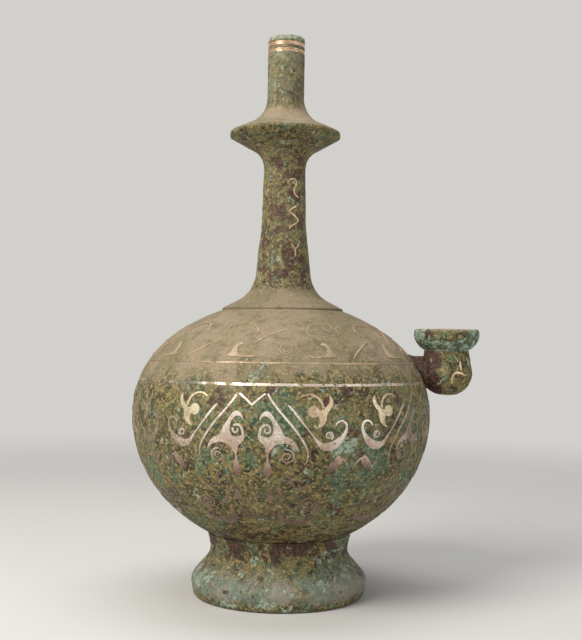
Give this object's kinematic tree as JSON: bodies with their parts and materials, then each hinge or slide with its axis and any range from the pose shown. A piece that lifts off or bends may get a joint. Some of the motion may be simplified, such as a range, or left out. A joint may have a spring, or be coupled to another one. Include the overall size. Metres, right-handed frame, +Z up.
{
  "type": "inlaid bronze pouring bottle",
  "caption": "Round-bellied bronze bottle on a ring foot with a tall flanged neck, a thin pouring tube, a cupped filling spout on the shoulder and scrolling metal ornament.",
  "frame": {"origin": "centre of the foot ring's resting face", "axes": "+Z up along the neck, +X towards the filling spout, -Y the side seen in the picture"},
  "size_m": [0.2235, 0.1914, 0.36],
  "materials": {
    "bronze": "corroded green and brown patina",
    "silver": "worn bright silver sheet",
    "gold": "pale worn gold",
    "tarnished_silver": "dark tarnish"
  },
  "bodies": {
    "root": {"foot_ring": "bronze", "lower_bowl": "bronze", "shoulder_dome": "bronze", "neck": "bronze", "flange_cone": "bronze", "upper_tube": "bronze", "spout_ferrule": "bronze", "spout_collar": "bronze", "spout_bulb": "bronze", "spout_lip": "bronze", "chevron_inlays": "silver", "crested_scroll_inlays": "silver", "bracket_scroll_inlays": "silver", "leaf_inlays": "silver", "girdle_wire_low": "silver", "girdle_wire_high": "silver", "plume_inlays": "gold", "neck_inlays": "gold", "bulb_inlay": "gold", "tip_bands": "gold", "low_spiral_inlays": "tarnished_silver", "low_cloud_inlays": "tarnished_silver", "low_stem_inlays": "tarnished_silver", "shoulder_cloud_inlays": "tarnished_silver", "shoulder_spiral_inlays": "tarnished_silver"}
  },
  "joints": []
}
